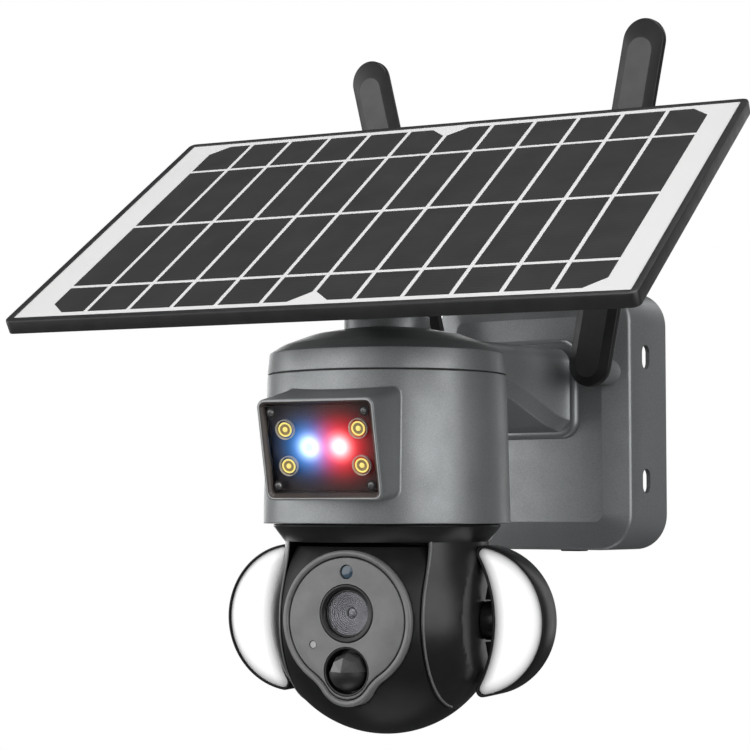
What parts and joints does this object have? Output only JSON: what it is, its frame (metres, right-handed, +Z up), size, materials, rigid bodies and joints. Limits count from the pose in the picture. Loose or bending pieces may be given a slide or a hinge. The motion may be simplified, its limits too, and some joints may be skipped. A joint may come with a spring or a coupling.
{
  "type": "solar-powered security camera",
  "caption": "Wall-mounted pan and tilt security camera with a lamp window, crescent floodlights, a tilting solar panel and paddle antennas.",
  "frame": {"origin": "centre of the wall box's back face, on the wall", "axes": "+Y into the wall, +Z up, +X to the right for someone facing the camera; the camera stands out towards -Y"},
  "size_m": [0.3458, 0.2986, 0.3619],
  "materials": {
    "housing_grey": "metallic grey, fine satin grain",
    "gloss_black": "gloss",
    "matte_black": "satin",
    "face_grey": "satin",
    "rubber": "matte",
    "cell_sleeve": "printed film sleeve over a steel can",
    "steel": "zinc plated",
    "tinted_window": "clear tinted, polished",
    "lens_glass": "coated glass",
    "circuit_board": "solder mask",
    "white_diffuser": "milky, satin",
    "solar_laminate": "laminated cells on a white sheet, glossy film",
    "white_led": "clear dome over yellow phosphor",
    "blue_led": "clear dome",
    "red_led": "clear dome"
  },
  "bodies": {
    "base": {"rear_housing": "housing_grey", "port_plug": "rubber", "battery_tray": "matte_black", "tray_seal": "rubber", "rear_cover": "matte_black", "cover_screw_right": "steel", "cover_screw_left": "steel", "battery_cell_1": "cell_sleeve", "battery_cell_2": "cell_sleeve", "battery_cell_3": "cell_sleeve", "battery_cell_4": "cell_sleeve", "arm_collar": "housing_grey", "arm_cap": "housing_grey", "cap_seal": "rubber", "upper_housing": "housing_grey", "lamp_window": "tinted_window", "window_screw_1": "steel", "window_screw_2": "steel", "window_screw_3": "steel", "window_screw_4": "steel", "lamp_board": "circuit_board", "white_led_1": "white_led", "white_led_2": "white_led", "white_led_3": "white_led", "white_led_4": "white_led", "blue_led": "blue_led", "red_led": "red_led", "main_board": "circuit_board", "pan_motor": "steel", "neck_collar": "housing_grey", "antenna_bolt_right": "steel", "antenna_bolt_left": "steel"},
    "turntable": {"yoke": "gloss_black", "floodlight_shell_right": "gloss_black", "floodlight_shell_left": "gloss_black", "floodlight_diffuser_right": "white_diffuser", "floodlight_diffuser_left": "white_diffuser", "floodlight_board_right": "circuit_board", "floodlight_board_left": "circuit_board", "tilt_pin_right": "steel", "tilt_pin_left": "steel"},
    "camera_ball": {"ball_shell": "gloss_black", "face_bezel": "face_grey", "face_plate": "face_grey", "lens_barrel": "matte_black", "lens_glass": "lens_glass", "light_sensor": "lens_glass", "pir_lens": "matte_black", "sensor_board": "circuit_board", "tilt_motor": "steel"},
    "panel_swivel_post": {"swivel_post": "gloss_black", "hinge_bolt": "steel", "hinge_knob": "matte_black"},
    "solar_panel": {"panel_frame": "matte_black", "cell_laminate": "solar_laminate", "panel_bracket": "gloss_black", "junction_box": "matte_black"},
    "right_antenna": {"antenna_right": "matte_black"},
    "left_antenna": {"antenna_left": "matte_black"}
  },
  "joints": [
    {"name": "head_pan", "type": "hinge", "parent": "base", "child": "turntable", "pos_m": [0, -0.1782, -0.0549], "axis": [0, 0, 1], "range_deg": [-175, 175]},
    {"name": "ball_tilt", "type": "hinge", "parent": "turntable", "child": "camera_ball", "pos_m": [0, -0.1782, -0.1001], "axis": [0.9816, 0.1908, 0], "range_deg": [-8, 80]},
    {"name": "panel_swivel", "type": "hinge", "parent": "base", "child": "panel_swivel_post", "pos_m": [0, -0.1782, 0.046], "axis": [0, 0, 1], "range_deg": [-15, 0]},
    {"name": "panel_tilt", "type": "hinge", "parent": "panel_swivel_post", "child": "solar_panel", "pos_m": [0, -0.1782, 0.0772], "axis": [0.9859, 0.1671, 0], "range_deg": [-3, 14]},
    {"name": "antenna_right_lean", "type": "hinge", "parent": "base", "child": "right_antenna", "pos_m": [0.0485, -0.0591, 0.0244], "axis": [0, 1, 0], "range_deg": [-11.3, 8]},
    {"name": "antenna_left_lean", "type": "hinge", "parent": "base", "child": "left_antenna", "pos_m": [-0.0485, -0.0591, 0.0244], "axis": [0, -1, 0], "range_deg": [-14, 20]}
  ]
}
